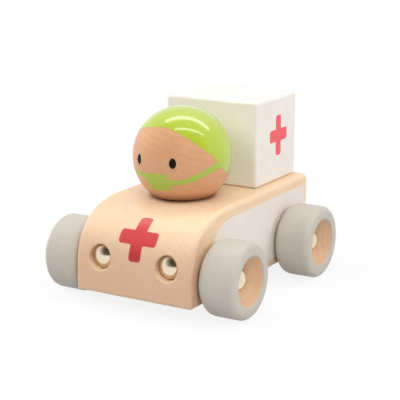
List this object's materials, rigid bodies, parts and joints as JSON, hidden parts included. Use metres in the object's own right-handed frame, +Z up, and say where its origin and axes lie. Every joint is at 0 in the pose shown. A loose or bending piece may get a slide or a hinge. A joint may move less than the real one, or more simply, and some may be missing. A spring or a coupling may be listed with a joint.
{
  "type": "toy ambulance",
  "caption": "Wooden push-along toy ambulance: curved beech body, white box on the deck, ball-headed driver, dished grey wheels on steel axles, domed headlights.",
  "frame": {"origin": "on the ground, under the middle of the overall box", "axes": "+Y from nose to tail, +X to the car's left, +Z up"},
  "size_m": [0.1008, 0.115, 0.0873],
  "materials": {
    "beech": "satin, bare",
    "white_paint": "satin white paint on wood",
    "driver_wood": "satin, with lime lacquer",
    "dowel_wood": "bare",
    "grey_paint": "satin grey paint on wood",
    "axle_steel": "drawn",
    "washer_steel": "stamped",
    "nickel": "polished",
    "lime_paint": "gloss lacquer",
    "red_paint": "satin paint",
    "black_paint": "satin paint"
  },
  "bodies": {
    "chassis": {"body_block": "beech", "treatment_box": "white_paint", "head_dowel": "dowel_wood", "box_dowel_front": "dowel_wood", "box_dowel_rear": "dowel_wood", "front_axle": "axle_steel", "rear_axle": "axle_steel", "axle_cap_front_left": "nickel", "axle_cap_front_right": "nickel", "axle_cap_rear_left": "nickel", "axle_cap_rear_right": "nickel", "washer_front_left": "washer_steel", "washer_front_right": "washer_steel", "washer_rear_left": "washer_steel", "washer_rear_right": "washer_steel", "headlight_left": "nickel", "headlight_right": "nickel"},
    "front_left_wheel": {"wheel_front_left": "grey_paint"},
    "front_right_wheel": {"wheel_front_right": "grey_paint"},
    "rear_left_wheel": {"wheel_rear_left": "grey_paint"},
    "rear_right_wheel": {"wheel_rear_right": "grey_paint"},
    "driver": {"driver_head": "driver_wood"}
  },
  "joints": [
    {"name": "front_left_wheel_spin", "type": "hinge", "parent": "chassis", "child": "front_left_wheel", "pos_m": [0.041, -0.0383, 0.0175], "axis": [1, 0, 0], "continuous": true},
    {"name": "front_right_wheel_spin", "type": "hinge", "parent": "chassis", "child": "front_right_wheel", "pos_m": [-0.041, -0.0383, 0.0175], "axis": [1, 0, 0], "continuous": true},
    {"name": "rear_left_wheel_spin", "type": "hinge", "parent": "chassis", "child": "rear_left_wheel", "pos_m": [0.041, 0.0344, 0.0175], "axis": [1, 0, 0], "continuous": true},
    {"name": "rear_right_wheel_spin", "type": "hinge", "parent": "chassis", "child": "rear_right_wheel", "pos_m": [-0.041, 0.0344, 0.0175], "axis": [1, 0, 0], "continuous": true},
    {"name": "head_swivel", "type": "hinge", "parent": "chassis", "child": "driver", "pos_m": [0, -0.0136, 0.0642], "axis": [0, 0, 1], "continuous": true}
  ]
}
